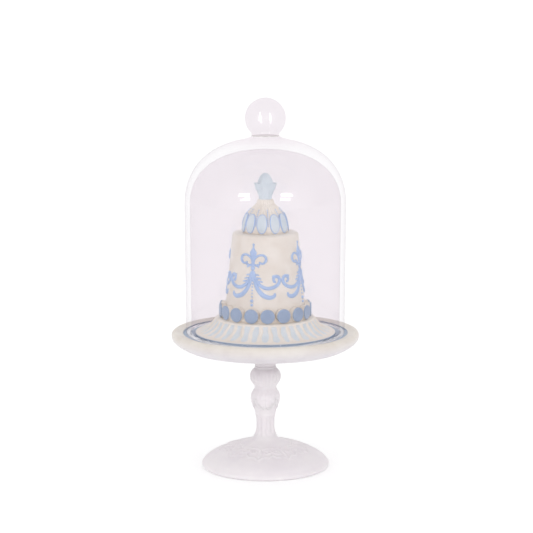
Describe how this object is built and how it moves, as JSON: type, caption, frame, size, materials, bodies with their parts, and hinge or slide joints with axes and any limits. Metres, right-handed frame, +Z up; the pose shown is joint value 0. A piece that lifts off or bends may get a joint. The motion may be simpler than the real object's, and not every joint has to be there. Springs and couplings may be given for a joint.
{
  "type": "cake stand dome",
  "caption": "Pedestal cake stand with a rolled-rim plate, a decorated display cake and a bell-shaped glass dome that lifts off by its ball knob.",
  "frame": {"origin": "centre of the foot's underside, on the table top", "axes": "+Z up along the stem and dome, -Y towards the front, +X to the viewer's right"},
  "size_m": [0.1532, 0.1532, 0.3035],
  "materials": {
    "frosted_glass": "satin",
    "clear_glass": "gloss",
    "cream_resin": "satin",
    "pale_blue_resin": "satin",
    "periwinkle_resin": "satin",
    "dusty_blue_resin": "satin"
  },
  "bodies": {
    "stand": {"pedestal_foot": "frosted_glass", "pedestal_stem": "frosted_glass", "stem_collar": "frosted_glass", "plate": "cream_resin", "skirt": "cream_resin", "disc_ledge": "cream_resin", "disc_01": "dusty_blue_resin", "disc_02": "dusty_blue_resin", "disc_03": "dusty_blue_resin", "disc_04": "dusty_blue_resin", "disc_05": "dusty_blue_resin", "disc_06": "dusty_blue_resin", "disc_07": "dusty_blue_resin", "disc_08": "dusty_blue_resin", "disc_09": "dusty_blue_resin", "disc_10": "dusty_blue_resin", "disc_11": "dusty_blue_resin", "disc_12": "dusty_blue_resin", "disc_13": "dusty_blue_resin", "disc_14": "dusty_blue_resin", "disc_15": "dusty_blue_resin", "disc_16": "dusty_blue_resin", "disc_17": "dusty_blue_resin", "middle_tier": "cream_resin", "fleur_1": "periwinkle_resin", "fleur_2": "periwinkle_resin", "fleur_3": "periwinkle_resin", "fleur_4": "periwinkle_resin", "garland_1": "periwinkle_resin", "garland_2": "periwinkle_resin", "garland_3": "periwinkle_resin", "garland_4": "periwinkle_resin", "pearl_drop_1": "periwinkle_resin", "pearl_drop_2": "periwinkle_resin", "pearl_drop_3": "periwinkle_resin", "pearl_drop_4": "periwinkle_resin", "top_tier": "cream_resin", "medallion_01": "pale_blue_resin", "medallion_02": "pale_blue_resin", "medallion_03": "pale_blue_resin", "medallion_04": "pale_blue_resin", "medallion_05": "pale_blue_resin", "medallion_06": "pale_blue_resin", "medallion_07": "pale_blue_resin", "medallion_08": "pale_blue_resin", "medallion_09": "pale_blue_resin", "medallion_10": "pale_blue_resin", "medallion_11": "pale_blue_resin", "piped_dots": "periwinkle_resin", "finial_collar": "cream_resin", "finial": "pale_blue_resin"},
    "dome": {"dome_glass": "clear_glass", "dome_knob": "clear_glass"}
  },
  "joints": [
    {"name": "dome_lift", "type": "slide", "parent": "stand", "child": "dome", "axis": [0, 0, 1], "range_m": [0, 0.16]}
  ]
}
